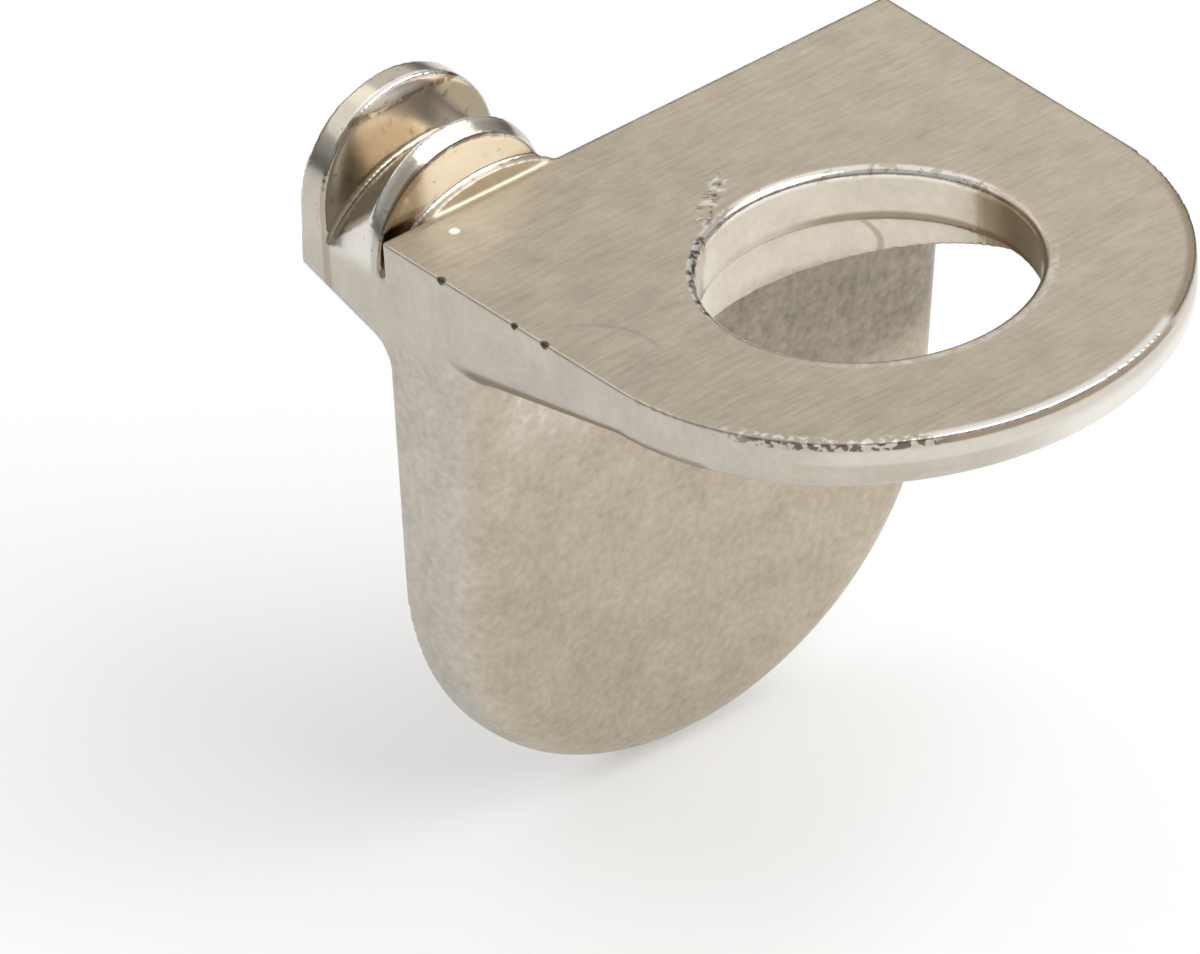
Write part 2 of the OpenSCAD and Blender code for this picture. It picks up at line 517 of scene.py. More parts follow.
def make_claw():
    bpy.ops.object.select_all(action="DESELECT")
    bpy.ops.mesh.primitive_plane_add(size=1)
    claw = bpy.context.object
    claw.name = "claw"
    edit(claw)
    bpy.ops.mesh.delete(type="VERT")
    for y, (top, radius, shift) in SECTIONS:
        add_arch(y, top, radius, shift)
    for (near, _), (far, _) in zip(SECTIONS, SECTIONS[1:]):
        pick("EDGE", lambda p: min(abs(p.y - near), abs(p.y - far)) < TINY / 10)
        bpy.ops.mesh.bridge_edge_loops()
    for y in (SECTIONS[0][0], SECTIONS[-1][0]):
        pick("EDGE", lambda p: abs(p.y - y) < TINY / 10)
        bpy.ops.mesh.edge_face_add()
    tidy_normals()
    bpy.ops.mesh.select_all(action="SELECT")
    lean = Vector((0, BARB_TOP - TIP_Z, TIP_LEAN)).normalized()
    bpy.ops.mesh.bisect(
        plane_co=(0, CLAW_L, TIP_Z), plane_no=lean, use_fill=True, clear_outer=True
    )
    bpy.ops.mesh.select_all(action="SELECT")
    sole = Vector((0, TIP_Z - ROOT_Z, -CLAW_L)).normalized()
    bpy.ops.mesh.bisect(
        plane_co=(0, CLAW_L, TIP_Z), plane_no=sole, use_fill=True, clear_outer=True
    )
    tidy_normals()
    leave()
    return claw


claw = make_claw()
print("claw has", len(claw.data.polygons), "faces")

# %% [markdown]
# ## The fillet under the claw
#
# Where the claw's sole meets the back of the leg, the mould leaves a hollow fillet. It is made as
# the one in front: a block under the sole, with a stick cut out that touches both the sole and the
# leg. The block's upper face is turned to the slope of the sole.

# %% Model the fillet under the claw
CLAW_FILLET_R = 0.8
CLAW_FILLET_BITE = 0.3
SOLE_SLOPE = (TIP_Z - ROOT_Z) / CLAW_L
STICK_Z = ROOT_Z + CLAW_FILLET_R * (SOLE_SLOPE - math.sqrt(1 + SOLE_SLOPE**2))
TOUCH_Y = CLAW_FILLET_R * (1 - math.sin(math.atan(SOLE_SLOPE)))


def make_claw_fillet():
    left, right = CLAW_X - CLAW_W / 2, CLAW_X + CLAW_W / 2
    corner = (right, TOUCH_Y, ROOT_Z + CLAW_FILLET_BITE)
    fillet = make_block("claw_fillet", (left, -SUNK, STICK_Z), corner)
    edit(fillet)
    pick("VERT", lambda p: p.z > ROOT_Z and p.y < 0)
    slide((0, 0, -SOLE_SLOPE * (TOUCH_Y + SUNK)))
    tidy_normals()
    leave()
    low = Vector((left - SUNK, CLAW_FILLET_R, STICK_Z))
    high = Vector((right + SUNK, CLAW_FILLET_R, STICK_Z))
    cut(fillet, make_rod("stick", CLAW_FILLET_R, low, high))
    return fillet


claw_fillet = make_claw_fillet()
print("claw fillet has", len(claw_fillet.data.polygons), "faces")

# %% [markdown]
# ## The hole
#
# The hole goes through plate and wedge. Its top edge is rounded, and a little way down it steps
# out by a hair, where two halves of the mould met. The cutter is one turned body: a profile of a
# few points, spun round the hole's axis.

# %% Model the hole's cutter
HOLE_EDGE_R = 0.2
STEP_Z = 1.35
STEP_OUT = 0.15
EDGE_STEPS = 8
TURN_STEPS = 192


def make_cutter():
    bpy.ops.object.select_all(action="DESELECT")
    bpy.ops.mesh.primitive_plane_add(size=1)
    cutter = bpy.context.object
    cutter.name = "hole_cutter"
    edit(cutter)
    bpy.ops.mesh.delete(type="VERT")
    wide = HOLE_R + HOLE_EDGE_R
    profile = [(0, SUNK), (wide, SUNK)]
    for step in range(EDGE_STEPS + 1):
        angle = math.radians(90 * step / EDGE_STEPS)
        profile.append((wide - HOLE_EDGE_R * math.sin(angle), -HOLE_EDGE_R * (1 - math.cos(angle))))
    lower = HOLE_R + STEP_OUT
    profile += [(HOLE_R, -STEP_Z), (lower, -STEP_Z - STEEP), (lower, -LEG_H / 2), (0, -LEG_H / 2)]
    mesh = bmesh.from_edit_mesh(cutter.data)
    points = [mesh.verts.new((r, -HOLE_Y, z)) for r, z in profile]
    for above, below in zip(points, points[1:]):
        mesh.edges.new((above, below))
    bmesh.update_edit_mesh(cutter.data)
    bpy.ops.mesh.select_all(action="SELECT")
    bpy.ops.mesh.spin(steps=TURN_STEPS, angle=math.tau, center=(0, -HOLE_Y, 0), axis=(0, 0, 1))
    bpy.ops.mesh.select_all(action="SELECT")
    bpy.ops.mesh.remove_doubles(threshold=TINY)
    tidy_normals()
    leave()
    return cutter


cutter = make_cutter()
print("cutter has", len(cutter.data.polygons), "faces")

# %% [markdown]
# ## Melt the parts into one casting
#
# The real piece was poured as one, so no seam may show between its parts. A voxel remesh reads the
# joined parts as one volume and skins it with an even mesh, which welds every overlap. A few
# passes of smoothing then take the sharpness off every edge by about a tenth of a millimetre,
# inside corners too, as molten zinc does. Flat faces stay flat. At the end, a collapse keeps small
# faces only where the form bends.

# %% Join, remesh and soften
VOXEL = 0.06
SOFTEN_PASSES = 6
SOFTEN_SHARE = 0.5
KEEP_SHARE = 0.3


def make_casting(parts):
    for part in (plate, wedge, corner_fillet):
        only(cutter)
        bpy.ops.object.duplicate()
        cut(part, bpy.context.object)
    only(cutter)
    bpy.ops.object.delete()
    bpy.ops.object.select_all(action="DESELECT")
    for part in parts:
        part.select_set(True)
    bpy.context.view_layer.objects.active = parts[0]
    bpy.ops.object.join()
    casting = bpy.context.object
    casting.name = "casting"
    melt = casting.modifiers.new("melt", "REMESH")
    melt.mode = "VOXEL"
    melt.voxel_size = VOXEL
    soften = casting.modifiers.new("soften", "SMOOTH")
    soften.factor = SOFTEN_SHARE
    soften.iterations = SOFTEN_PASSES
    thin = casting.modifiers.new("thin", "DECIMATE")
    thin.ratio = KEEP_SHARE
    for step in ("melt", "soften", "thin"):
        bpy.ops.object.modifier_apply(modifier=step)
        print("the casting has", len(casting.data.polygons), "faces")
    return casting


casting = make_casting([plate, leg, wedge, corner_fillet, claw, claw_fillet])

# %% [markdown]
# ## Down to real size
#
# The finished casting is scaled to metres, shaded smooth, and handed to the frame: it rides on the
# one body and stands for the plain node, which is hidden.

# %% Scale the casting and hand it to the frame
casting.scale = (MM, MM, MM)
place(casting)
bpy.ops.object.shade_smooth()
casting.name = "shelf_support_casting"
casting.data.name = "shelf_support_casting"
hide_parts("shelf_support")
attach(casting, "root")
print("casting spans", [round(c / MM, 2) for c in casting.dimensions])

# %% [markdown]
# ## Shader helpers
#
# A node tree is easier to read as arithmetic. One small class wraps a socket, so that an
# expression such as 1 - mask adds its own Math node. Every other node comes from one method, which
# takes the node's type, its settings and its inputs. An input is given by its name, or as i and
# its number where several inputs share a name.


# %% Sockets that can be added and multiplied
class Shade:
    """A node's output socket in a material's tree."""

    def __init__(self, tree, socket):
        self.tree, self.socket = tree, socket

    def node(self, kind, settings=None, out=0, **inputs):
        return add_node(self.tree, kind, settings, out, **inputs)

    def math(self, operation, *values):
        inputs = {f"i{index}": value for index, value in enumerate(values)}
        return self.node("ShaderNodeMath", {"operation": operation}, 0, **inputs)

    def __add__(self, other):
        return self.math("ADD", self, other)

    def __sub__(self, other):
        return self.math("SUBTRACT", self, other)

    def __rsub__(self, other):
        return self.math("SUBTRACT", other, self)

    def __mul__(self, other):
        return self.math("MULTIPLY", self, other)

    def __pow__(self, other):
        return self.math("POWER", self, other)

    def __neg__(self):
        return self.math("MULTIPLY", self, -1)

    def __abs__(self):
        return self.math("ABSOLUTE", self)

    __radd__, __rmul__ = __add__, __mul__

    def rises(self, low, high):
        """Goes smoothly from 0 at low to 1 at high, or back if low is the larger one."""
        settings = {"interpolation_type": "SMOOTHSTEP"}
        ends = (0, 1) if low < high else (1, 0)
        return self.node(
            "ShaderNodeMapRange", settings, 0,
            i0=self, i1=min(low, high), i2=max(low, high), i3=ends[0], i4=ends[1],
        )

    def mixed(self, first, second):
        """A colour between two, by this mask."""
        return self.node(
            "ShaderNodeMix", {"data_type": "RGBA"}, 2, i0=self, i6=colour(first), i7=colour(second)
        )


def colour(value):
    """Gives a plain colour its fourth number."""
    return value if isinstance(value, Shade) else (*value, 1.0)


def add_node(tree, kind, settings=None, out=0, **inputs):
    """Adds a node, sets it up, feeds its inputs and returns one of its outputs."""
    node = tree.nodes.new(kind)
    for name, value in (settings or {}).items():
        setattr(node, name, value)
    for name, value in inputs.items():
        numbered = name[0] == "i" and name[1:].isdigit()
        socket = node.inputs[int(name[1:]) if numbered else name.replace("_", " ")]
        if isinstance(value, Shade):
            tree.links.new(value.socket, socket)
        else:
            socket.default_value = value
    return Shade(tree, node.outputs[out])


def new_material(name):
    material = bpy.data.materials.new(name)
    material.use_nodes = True
    return material, material.node_tree, material.node_tree.nodes["Principled BSDF"]


print("shader helpers ready")

# %% [markdown]
# ## Satin nickel
#
# The plating is one material, but each face was finished in its own way. The top was brushed along
# the cabinet side. The flush left flank and the rim are a little greyer in the colour, a painted
# reflection of the pale floor. The leg keeps the skin of the mould, finely pitted. The claw and the
# hole's wall are smooth. A material for each face would leave hard seams between them. So there is
# one, which finds out by place and by the direction of the surface where it is. It works in
# millimetres, from the object's own coordinates.

# %% Start the nickel
nickel, tree, surface = new_material("satin_nickel")
place_m = add_node(tree, "ShaderNodeTexCoord", out=3)
facing = add_node(tree, "ShaderNodeTexCoord", out=1)
mm = place_m.node("ShaderNodeVectorMath", {"operation": "SCALE"}, 0, i0=place_m, Scale=1 / MM)
x, y, z = (mm.node("ShaderNodeSeparateXYZ", None, axis, i0=mm) for axis in range(3))
nx, ny, nz = (facing.node("ShaderNodeSeparateXYZ", None, axis, i0=facing) for axis in range(3))
print("nickel starts with", len(tree.nodes), "nodes")

# %% [markdown]
# ## Masks for the faces
#
# A mask is 1 on one part of the surface and 0 on the rest, with a soft border. The two numbers
# given to rises say where that border starts and ends: in millimetres for a place, and from -1 to
# 1 for a direction. The first masks say which part of the casting a point is on. A mask could also
# be painted by hand on the mesh, but then each change of the mesh would lose it.


# %% Find the faces
def between(value, low, high, soft=0.04):
    """1 where value lies from low to high, fading out over soft on either side."""
    return value.rises(low - soft, low) * value.rises(high + soft, high)


def larger(first, second):
    """The larger of two masks, so that both show."""
    return first.math("MAXIMUM", first, second)


def length(first, second):
    """Length of a flat arrow, which is how far a point is from where both are 0."""
    return (first**2 + second**2) ** 0.5


past_hole = y + HOLE_Y
from_axis = (x * x + past_hole**2) ** 0.5
nose_y = past_hole.math("MINIMUM", past_hole, 0)
to_edge = HALF_W - (x * x + nose_y**2) ** 0.5
top = nz.rises(0.9, 0.99) * z.rises(-0.12, -0.03) * y.rises(0.02, -0.05)
claw_part = y.rises(0.02, 0.1) * z.rises(-1.3, -0.6)
wall = from_axis.rises(HOLE_R + 0.3, HOLE_R + 0.15) * (1 - top)
leg_part = z.rises(-2.0, -3.0)
leg_front = leg_part * (-ny).rises(0.6, 0.9)
sides = (-nx).rises(0.35, 0.95)
rim = to_edge.rises(0.9, 0.2) * (1 - top) * z.rises(-2.2, -1.6) * abs(nz).rises(0.95, 0.7)
print("with masks", len(tree.nodes), "nodes")

# %% [markdown]
# ## Noises
#
# Five noises give the finish its grain. Clouds are the plating's uneven tone, and the fine grain
# is the cast skin under it. Brush lines are a noise drawn out along x, the way the brush went.
# Flecks and a breakup noise break up the marks on the edges, painted highlights and painted shade
# among them, so that none of them is a clean drawn line.


# %% Make the noises
def noise(scale, stretch=(1, 1, 1), detail=2.0, rough=0.5, warp=0.0):
    """Noise whose grains are about 1 / scale of a millimetre, drawn out along an axis."""
    drawn = mm.node("ShaderNodeVectorMath", {"operation": "MULTIPLY"}, 0, i0=mm, i1=stretch)
    return drawn.node(
        "ShaderNodeTexNoise", None, 0,
        Vector=drawn, Scale=scale, Detail=detail, Roughness=rough, Distortion=warp,
    )


cloud = noise(0.9, detail=4.0)
grain = noise(5.0, detail=3.0)
brush = noise(7.0, (0.12, 1.0, 1.0), detail=3.0, rough=0.65)
flecks = noise(2.6, detail=3.0, rough=0.6, warp=0.8)
breakup = noise(4.5, detail=2.0, warp=0.3)
print("with noises", len(tree.nodes), "nodes")

# %% [markdown]
# ## Colour of the large faces
#
# Nickel is a warm grey. The sides that face left and the rim are greyer, a painted reflection of
# the pale floor. The hole's wall gets painted reflections: paler on the far side, browner on its
# right side and bright on the left. The lamps give only part of what the metal mirrors, so the rest
# is put in the colour. Then the noises lighten and darken the tone, and painted light makes the top
# lighter towards the right. The leg's front gets painted shade, most of it on the upper part under
# the hole, and painted glints beside the fillet.

# %% Colour the faces
WARM = (0.55, 0.48, 0.375)
GREY = (0.53, 0.49, 0.425)
PALE = (0.66, 0.60, 0.51)
CLAW_GREY = (0.58, 0.54, 0.46)
SCRATCH_GREY = (0.30, 0.30, 0.31)
DARK = (0.10, 0.075, 0.055)
BROWN = (0.26, 0.19, 0.125)
BRIGHT = (0.93, 0.90, 0.85)
CLOUD_DEPTH = 0.34
GRAIN_DEPTH = 0.22
LEG_GRAIN_DEPTH = 0.3
BRUSH_DEPTH = 0.55
TOP_LIGHT_PER_MM = 0.012
SHADE_UNDER_HOLE = 0.4
LEG_FRONT_SHADE = 0.06

# Painted reflection: the sides that face left and the rim are greyer, as if they mirrored the pale
# floor.
grey_reflection = larger(sides, rim * 0.8) * (1 - wall)
base = grey_reflection.mixed(WARM, GREY)
# Painted reflections on the hole's wall: pale on the far side, brown on the right, bright on the
# left.
base = (wall * y.rises(-8.2, -6.6) * 0.8).mixed(base, PALE)
base = (wall * y.rises(-6.6, -8.2) * x.rises(1.0, 2.5) * 0.38).mixed(base, BROWN)
base = (wall * x.rises(-1.5, -3.0) * 0.4).mixed(base, BRIGHT)
tone = 1 + (cloud - 0.5) * CLOUD_DEPTH + (grain - 0.5) * (GRAIN_DEPTH + leg_part * LEG_GRAIN_DEPTH)
tone = tone + (brush - 0.5) * top * BRUSH_DEPTH
# Painted light: the top gets lighter towards the right.
tone = tone + x * top * TOP_LIGHT_PER_MM
# Painted shade: the leg's front is darker, most of all on its upper part under the hole.
leg_shade_under_hole = leg_front * z.rises(-8.5, -6.5) * x.rises(-2.5, 0.5)
tone = tone - leg_shade_under_hole * SHADE_UNDER_HOLE - leg_front * LEG_FRONT_SHADE
base = base.node("ShaderNodeVectorMath", {"operation": "SCALE"}, 0, i0=base, Scale=tone)
# Painted glints: bright flecks on the leg's front beside the fillet.
fillet_glints = z.rises(-6.0, -4.2) * x.rises(-6.6, -5.6) * x.rises(-1.5, -4.0)
fillet_glints = fillet_glints * (-ny).rises(0.4, 0.7) * z.rises(-2.4, -3.2)
base = (fillet_glints * (0.2 + flecks.rises(0.45, 0.7) * 0.3)).mixed(base, BRIGHT)
print("with the faces' colours", len(tree.nodes), "nodes")

# %% [markdown]
# ## Colour of the claw
#
# The claw isn't brushed, so its plating is smooth, paler and greyer. Painted highlights make it
# bright on the ramp between the barbs, on the inner barb's shoulder and face, on the end barb's
# upper border and on the right of the end barb's shoulder. Painted shade makes it brown on the left
# of that shoulder and in the slit beside the plate. A brown line runs along the border of the inner
# barb's face and under the end barb's border, and brown flecks lie all over the claw. The inner
# barb's face is round at the top, so its border is found by the distance from the middle of that
# circle.

# %% Colour the claw
LIP_R = INNER_LIP[1]
LIP_MIDDLE_DEPTH = INNER_LIP[1] - INNER_LIP[0]

base = (claw_part * 0.45).mixed(base, CLAW_GREY)
# Painted highlight: the ramp between the barbs is bright.
ramp_part = claw_part * between(y, 0.5, 2.0, 0.1)
base = (ramp_part * 0.5).mixed(base, BRIGHT)

end_face = between(y, END_SHOULDER_Y - 0.12, END_SHOULDER_Y + 0.1, 0.05)
# Painted shade makes the end barb's shoulder brown on the left, and painted light makes it bright
# on the right.
end_shoulder = end_face * z.rises(1.75, 1.6)
base = (end_shoulder * x.rises(-3.6, -4.4) * 0.4).mixed(base, BROWN)
base = (end_shoulder * x.rises(-4.2, -3.6) * 0.5).mixed(base, BRIGHT)
# Painted highlight on the inner barb's shoulder.
inner_shoulder = between(y, 0.12, 0.26) * z.rises(0.3, 0.6) * x.rises(-5.9, -5.3)
base = (inner_shoulder * 0.6).mixed(base, BRIGHT)
# Painted highlight: the end barb's upper border is bright.
end_border = between(y, 2.0, 2.25, 0.06) * z.rises(1.8, 2.0)
base = (end_border * 0.85).mixed(base, BRIGHT)
end_line = end_face * between(z, 1.68, 1.8, 0.06)
base = (end_line * flecks.rises(0.42, 0.5) * 0.8).mixed(base, BROWN)

face_y = between(y, 0.1, 0.26)
# Painted highlight: the inner barb's face is bright, more so towards the left.
inner_face = face_y * (-ny).rises(0.6, 0.9) * z.rises(1.35, 1.05) * x.rises(-3.2, -3.9)
base = (inner_face * (0.5 + x.rises(-4.7, -5.6) * 0.15)).mixed(base, BRIGHT)
from_middle = length(x - CLAW_X, z + LIP_MIDDLE_DEPTH)
left_line = from_middle.rises(LIP_R - 0.26, LIP_R - 0.14) * x.rises(-5.75, -6.1)
top_line = from_middle.rises(LIP_R - 0.12, LIP_R - 0.06) * x.rises(-3.4, -4.0)
top_line = top_line * flecks.rises(0.4, 0.5)
face_line = larger(left_line, top_line * 0.8) * (-ny).rises(0.3, 0.7)
base = (face_y * z.rises(-0.6, -0.3) * face_line * 0.85).mixed(base, BROWN)
# Painted shade: the slit beside the plate is brown.
slit_shade = between(y, -0.02, 0.24) * x.rises(-5.7, -6.25) * z.rises(-1.1, -0.8)
base = (slit_shade * 0.8).mixed(base, BROWN)
base = (claw_part * breakup.rises(0.38, 0.3) * 0.4).mixed(base, BROWN)
print("with the claw", len(tree.nodes), "nodes")

# %% [markdown]
# ## Colour of the edges
#
# A painted shade line runs along the wedge's lower edge on the flank's side. The nose has a white
# line of painted highlight on the top's border and a brown line of painted dark reflection just
# below it. Towards the left both break up into bits and small dark dashes, and beyond the tip only
# the brown is left. A broken brown line of painted dark reflection runs along the top's right and
# back edges too. A faint painted highlight lies lower on the nose's rim, and low on the rim, to the
# right, a painted reflection makes the metal bright. The marks are only in the colour, because no
# depth shows in them.

# %% Colour the edges
# Painted shade: a dark line along the wedge's lower edge on the flank's side.
low_edge_shade = between(nz, -0.72, -0.45, 0.14) * (-nx).rises(0.35, 0.6)
low_edge_shade = low_edge_shade * between(y, -10.5, -2.8, 0.4) * between(z, -3.0, -1.2, 0.2)
base = (low_edge_shade * 0.8).mixed(base, BROWN)

nose_front = y.rises(-9.5, -11.5)
border = to_edge.rises(0.3, 0.14) * nose_front
middle_part = between(x, -3.2, 3.2, 0.5)
left_part = x.rises(-3.0, -3.6) * x.rises(-7.0, -6.2)
right_part = x.rises(3.2, 3.8)
# Painted highlight: a white line on the nose's top border, broken up towards the left.
lit_border = border * z.rises(-0.12, -0.04)
base = (lit_border * middle_part * 0.9).mixed(base, BRIGHT)
base = (lit_border * left_part * breakup.rises(0.48, 0.58) * 0.7).mixed(base, BRIGHT)
# Painted dark reflection: a brown line just below it, broken into dark dashes towards the left, and
# the only line on the right.
below = border * between(z, -0.2, -0.06)
base = (below * middle_part * 0.8).mixed(base, BROWN)
base = (below * left_part * breakup.rises(0.51, 0.44) * 0.85).mixed(base, DARK)
base = (border * right_part * z.rises(-0.15, -0.05) * 0.6).mixed(base, BROWN)

# Painted dark reflection: a broken brown line along the top's right and back edges.
right_edge = to_edge.rises(0.15, 0.05) * x.rises(5.5, 6.8)
back_edge = (-y).rises(0.14, 0.04) * x.rises(-2.7, -2.2)
outline = larger(right_edge, back_edge) * z.rises(-0.25, -0.12)
base = (outline * (0.4 + breakup.rises(0.55, 0.45) * 0.35)).mixed(base, BROWN)
# Painted highlight: a faint bright band lower on the nose's rim.
base = (border * between(z, -0.55, -0.3, 0.1) * x.rises(-6.5, -5.0) * 0.25).mixed(base, BRIGHT)
# Painted reflection: low on the rim, to the right, the metal is bright.
rim_sheen = to_edge.rises(1.2, 0.9) * (1 - top) * z.rises(-1.55, -1.45) * y.rises(-11.5, -13.0)
base = (rim_sheen * z.rises(-0.4, -0.7) * x.rises(-2.5, 0.5) * 0.7).mixed(base, BRIGHT)
print("with the edges", len(tree.nodes), "nodes")

# %% [markdown]
# ## Colour of the hole
#
# The hole's edge has a broken painted highlight on the far side, with painted shade as dark dashes
# at its left. On the near side it has a thin painted shade line with a faint painted highlight
# outside it. On the wall, the shadow under the step of the mould is painted as a dark line, and a
# fainter painted shade line turns down from it on the far side. That one is bent like a bow, which
# is what the squared height does.

# %% Colour the hole
TURN_X = 2.7
TURN_Z = 2.08
TURN_BEND = 0.75

past = from_axis - HOLE_R
far_side = y.rises(-8.3, -7.3)
far_left = far_side * x.rises(-1.6, -2.2)
near_side = y.rises(-10.0, -11.2)
# Painted highlight on the far side of the hole's edge, broken, with painted shade as dark dashes at
# its left.
ring = past.rises(0.24, 0.14) * z.rises(-0.3, -0.16)
base = (ring * far_side * flecks.rises(0.38, 0.48) * 0.8).mixed(base, BRIGHT)
base = (ring * far_left * flecks.rises(0.47, 0.41) * 0.85).mixed(base, DARK)
# Painted shade: a thin dark line on the near side of the hole's edge, with a faint painted
# highlight outside it.
base = (past.rises(0.18, 0.1) * near_side * z.rises(-0.3, -0.2) * 0.5).mixed(base, BROWN)
near_ring = between(past, 0.2, 0.32, 0.1) * top * near_side
base = (near_ring * (0.1 + flecks.rises(0.42, 0.6) * 0.3)).mixed(base, BRIGHT)

# Painted shadow: a dark line under the mould's step on the hole's wall, stronger on the right.
step_shadow = wall * abs(z + STEP_Z - 0.1).rises(0.17, 0.05) * (0.2 + x.rises(0.4, 1.8) * 0.6)
base = step_shadow.mixed(base, BROWN)
# Painted shade: a fainter dark line turns down from it on the far side.
turned = x - TURN_X + (z + TURN_Z) ** 2 * TURN_BEND
turned_shade = wall * abs(turned).rises(0.09, 0.03) * between(z, -2.55, -1.5, 0.1) * far_side
base = (turned_shade * 0.5).mixed(base, BROWN)
print("with the hole", len(tree.nodes), "nodes")

# %% [markdown]
# ## Small marks
#
# Three pits sit on the left edge, such as trapped gas leaves in a casting. A bright speck lies by
# the claw, a short trail of light and dark flecks beside the hole, and one old curved scratch near
# the left edge. A spot is a distance from a point, and a curved scratch is a thin ring with its
# ends faded out.

# %% Add the small marks
PITS = ((-2.09, 0.17), (-4.69, 0.14), (-5.76, 0.17))
SPECK = (-5.85, -0.76)
TRAIL = (-0.86, -3.78)
SCRATCH_MIDDLE = (-7.33, -7.22)
SCRATCH_R = 1.81

spots = None
for pit_y, size in PITS:
    away = ((x + HALF_W) ** 2 + (y - pit_y) ** 2 + z * z) ** 0.5
    spot = away.rises(size, size * 0.5)
    spots = spot if spots is None else larger(spots, spot)
base = spots.mixed(base, DARK)
speck = length(x - SPECK[0], y - SPECK[1]).rises(0.16, 0.08) * top
base = speck.mixed(base, BRIGHT)
off_trail = (x - TRAIL[0]) * 0.6 - (y - TRAIL[1]) * 0.8
trail = abs(off_trail).rises(0.3, 0.1) * between(x, -1.6, -0.1, 0.15) * top
base = (trail * flecks.rises(0.52, 0.58) * 0.7).mixed(base, BRIGHT)
base = (trail * flecks.rises(0.46, 0.41) * 0.7).mixed(base, DARK)
from_bend = length(x - SCRATCH_MIDDLE[0], y - SCRATCH_MIDDLE[1])
scratch = abs(from_bend - SCRATCH_R).rises(0.09, 0.0) * x.rises(-6.7, -6.2)
scratch = scratch * y.rises(-8.0, -7.4) * top
base = (scratch * 0.45).mixed(base, SCRATCH_GREY)
tree.links.new(base.socket, surface.inputs["Base Color"])
print("with the marks", len(tree.nodes), "nodes")

# %% [markdown]
# ## Roughness and relief
#
# Satin nickel mirrors softly. The claw and the hole's wall are smoother than the rest, and the leg
# and the brushed top a little rougher. The top is dull beside the claw, where no brush reaches.
# The brush lines on the top and the mould's skin on the leg are a fine relief. A Bump node makes
# it from the brush noise and from one more noise for the skin, and the pits are sunk into it.

# %% Set roughness and relief
PLAIN_ROUGH = 0.30
LEG_ROUGH = 0.08
TOP_ROUGH = 0.08
SMOOTHER = 0.12
BRUSH_ROUGH = 0.12
BESIDE_CLAW_ROUGH = 0.22
JOINT_ROUGH = 0.2
RELIEF_MM = 0.03
RELIEF_STRENGTH = 0.5
PIT_DEPTH = 1.5

rough = PLAIN_ROUGH + leg_part * LEG_ROUGH - claw_part * SMOOTHER - wall * SMOOTHER
rough = rough + (brush - 0.5) * top * BRUSH_ROUGH
beside_claw = top * y.rises(-3.0, -1.0) * x.rises(-0.5, -2.5)
joint = between(y, -0.2, 0.08) * x.rises(-2.2, -2.6) * z.rises(-0.1, 0.0)
rough = rough + top * TOP_ROUGH + beside_claw * BESIDE_CLAW_ROUGH + joint * JOINT_ROUGH
tree.links.new(rough.socket, surface.inputs["Roughness"])
surface.inputs["Metallic"].default_value = 1.0

skin = noise(3.2, detail=4.0, rough=0.6)
relief = brush * top * 0.5 + skin * (1 - top) * (0.35 + leg_part * 0.65) * (1 - claw_part * 0.7)
relief = relief - spots * PIT_DEPTH
bump = relief.node(
    "ShaderNodeBump", None, 0, Strength=RELIEF_STRENGTH, Distance=RELIEF_MM * MM, Height=relief
)
tree.links.new(bump.socket, surface.inputs["Normal"])
casting.data.materials.clear()
casting.data.materials.append(nickel)
print("nickel has", len(tree.nodes), "nodes")

# %% [markdown]
# ## Floor
#
# The support stands on plain white paper. The paper is a little brighter to the camera and to the
# metal than its light alone would make it, so that it goes to pure white round the object, and the
# shadow still falls on it.

# %% Lay the floor
PAPER = (0.95, 0.95, 0.95)
PAPER_ROUGH = 0.9
PAPER_LIFT = 0.35
FLOOR_SIZE = 8


def make_paper():
    material, tree, surface = new_material("white_paper")
    surface.inputs["Base Color"].default_value = colour(PAPER)
    surface.inputs["Roughness"].default_value = PAPER_ROUGH
    surface.inputs["Specular IOR Level"].default_value = 0.0
    camera_ray = add_node(tree, "ShaderNodeLightPath", out=0)
    glossy_ray = add_node(tree, "ShaderNodeLightPath", out=3)
    clear_ray = add_node(tree, "ShaderNodeLightPath", out=6)
    seen = (camera_ray + glossy_ray + clear_ray) * PAPER_LIFT
    plain = Shade(tree, surface.outputs[0])
    glow = add_node(tree, "ShaderNodeEmission", Strength=1.0)
    both = seen.node("ShaderNodeMixShader", None, 0, i0=seen, i1=plain, i2=glow)
    tree.links.new(both.socket, tree.nodes["Material Output"].inputs["Surface"])
    return material


bpy.ops.object.select_all(action="DESELECT")
bpy.ops.mesh.primitive_plane_add(size=FLOOR_SIZE, location=(0, 0, cad_low.z))
floor = bpy.context.object
floor.name = "floor"
place(floor)
floor.data.materials.append(make_paper())
print("floor at", round(cad_low.z / MM, 2), "mm")

# %% [markdown]
# ## Light
#
# The sky of the little studio is a soft white tent, dimmer towards the horizon, which draws a thin
# dark line along the far edges of the metal. Four large soft lamps hang 30 cm away. The front one
# is the main light: it stands in front and above, and throws the soft shadow back and to the left.
# The other three are weak. The back one and the claw one stand behind the casting, and lay a sheen
# on its far edges and on the crests of the claw. The top one lifts the brushed face.

# %% Hang the lamps
TENT_TOP = 0.49
TENT_LOW = 0.18
TENT_HEM = 0.08
TENT_DOME = 0.42
WHITE = (1.0, 1.0, 1.0, 1.0)
LAMP_DISTANCE = 0.3
AIM = Vector((0, -6 * MM, -8 * MM))


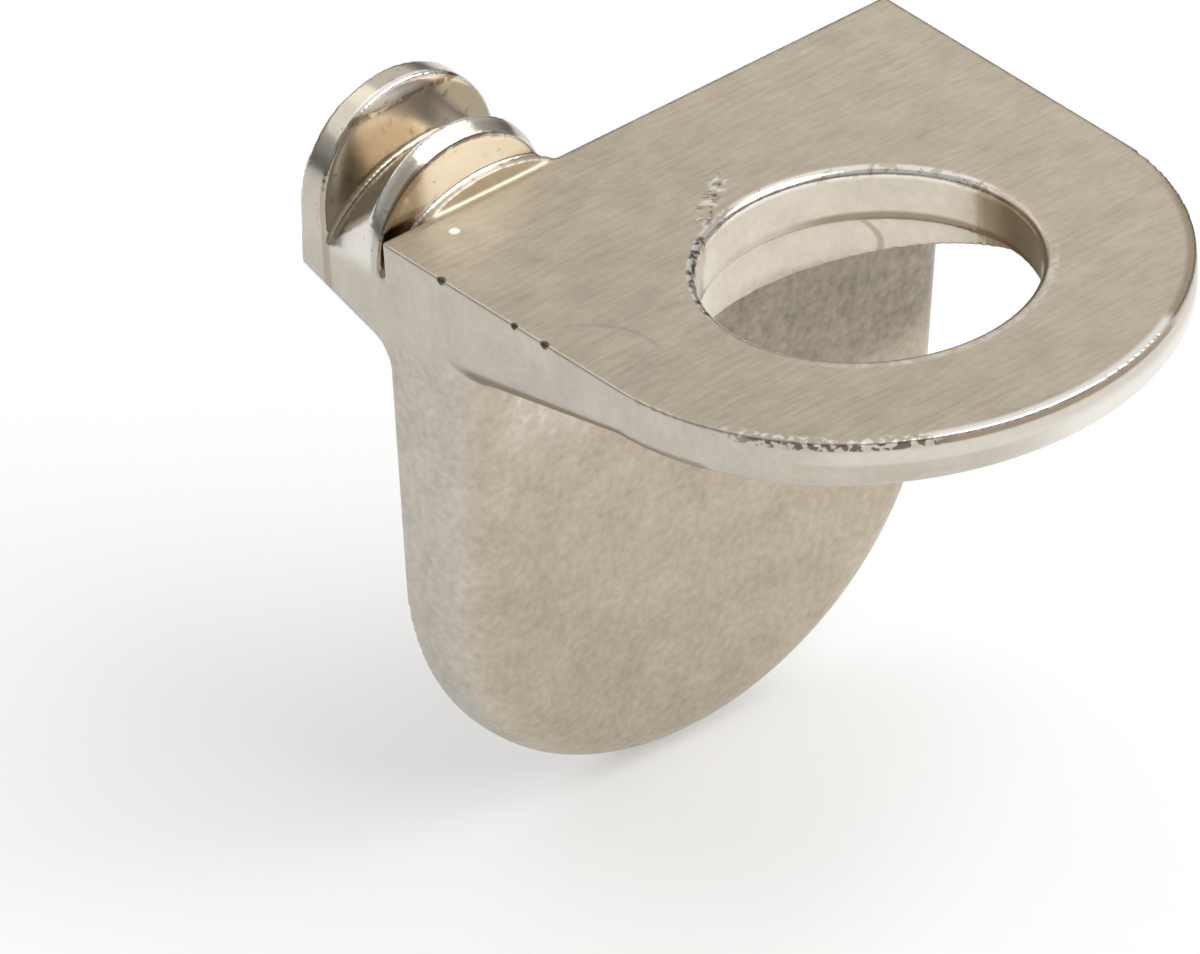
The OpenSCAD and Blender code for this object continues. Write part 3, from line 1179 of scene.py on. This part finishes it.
def make_tent():
    """Hangs a white sky that goes from TENT_LOW up to TENT_TOP between two heights."""
    world = bpy.data.worlds.new("tent")
    bpy.context.scene.world = world
    world.use_nodes = True
    tree = world.node_tree
    way = add_node(tree, "ShaderNodeTexCoord", out=0)
    up = way.node("ShaderNodeSeparateXYZ", None, 2, i0=way)
    tree.nodes["Background"].inputs["Color"].default_value = WHITE
    tree.nodes["Background"].inputs["Strength"].default_value = TENT_LOW
    low = Shade(tree, tree.nodes["Background"].outputs[0])
    top = add_node(tree, "ShaderNodeBackground", Color=WHITE, Strength=TENT_TOP)
    height = up.rises(TENT_HEM, TENT_DOME)
    sky = height.node("ShaderNodeMixShader", None, 0, i0=height, i1=low, i2=top)
    tree.links.new(sky.socket, tree.nodes["World Output"].inputs["Surface"])


def hang_lamp(name, way, size, level):
    """Hangs a lamp that lights a level card at the object as brightly as level."""
    way = Vector(way).normalized()
    data = bpy.data.lights.new(name, "AREA")
    data.shape = "RECTANGLE"
    data.size, data.size_y = size
    data.energy = level * math.pi**2 * LAMP_DISTANCE**2 / way.z
    lamp = bpy.data.objects.new(name, data)
    bpy.context.scene.collection.objects.link(lamp)
    lamp.location = way * LAMP_DISTANCE + AIM
    lamp.rotation_euler = way.to_track_quat("Z", "Y").to_euler()


make_tent()
hang_lamp("front_lamp", (0.40, -0.65, 0.85), (0.27, 0.24), 0.64)
hang_lamp("back_lamp", (0.35, 0.67, 0.60), (0.30, 0.20), 0.05)
hang_lamp("claw_lamp", (-0.25, 0.67, 0.65), (0.26, 0.13), 0.06)
hang_lamp("top_lamp", (0.1, 0.1, 1.0), (0.30, 0.30), 0.12)
print("hung", sorted(lamp.name for lamp in bpy.data.lights))

# %% [markdown]
# ## Camera
#
# The camera stands almost a metre away with a very long lens, as for a catalogue picture, so that
# parallel edges stay nearly parallel. It looks down at the nose from the front and the left. Three
# arrows say how it stands: one goes back to the camera, and two go right and up across its view.

# %% Set the camera
BACK = Vector((-0.5061, -0.6661, 0.5479)).normalized()
RIGHT = Vector((0.7724, -0.6327, -0.0557))
UP = BACK.cross(RIGHT).normalized()
RIGHT = UP.cross(BACK)
VIEW_W = 27.03 * MM
AIM_RIGHT = -0.7725 * MM
AIM_UP = -8.063 * MM
CENTRE = AIM_RIGHT * RIGHT + AIM_UP * UP
LENS = 1200
camera_data = bpy.data.cameras.new("camera")
camera_data.lens = LENS
camera = bpy.data.objects.new("camera", camera_data)
bpy.context.scene.collection.objects.link(camera)
turn = Matrix((RIGHT, UP, BACK)).transposed()
distance = VIEW_W * LENS / camera_data.sensor_width
camera.matrix_world = Matrix.Translation(CENTRE + BACK * distance) @ turn.to_4x4()
camera_data.clip_start = distance / 10
camera_data.clip_end = distance * 10
bpy.context.scene.camera = camera
bpy.context.scene.view_settings.view_transform = "Standard"
print("camera at", [round(c, 3) for c in camera.location])
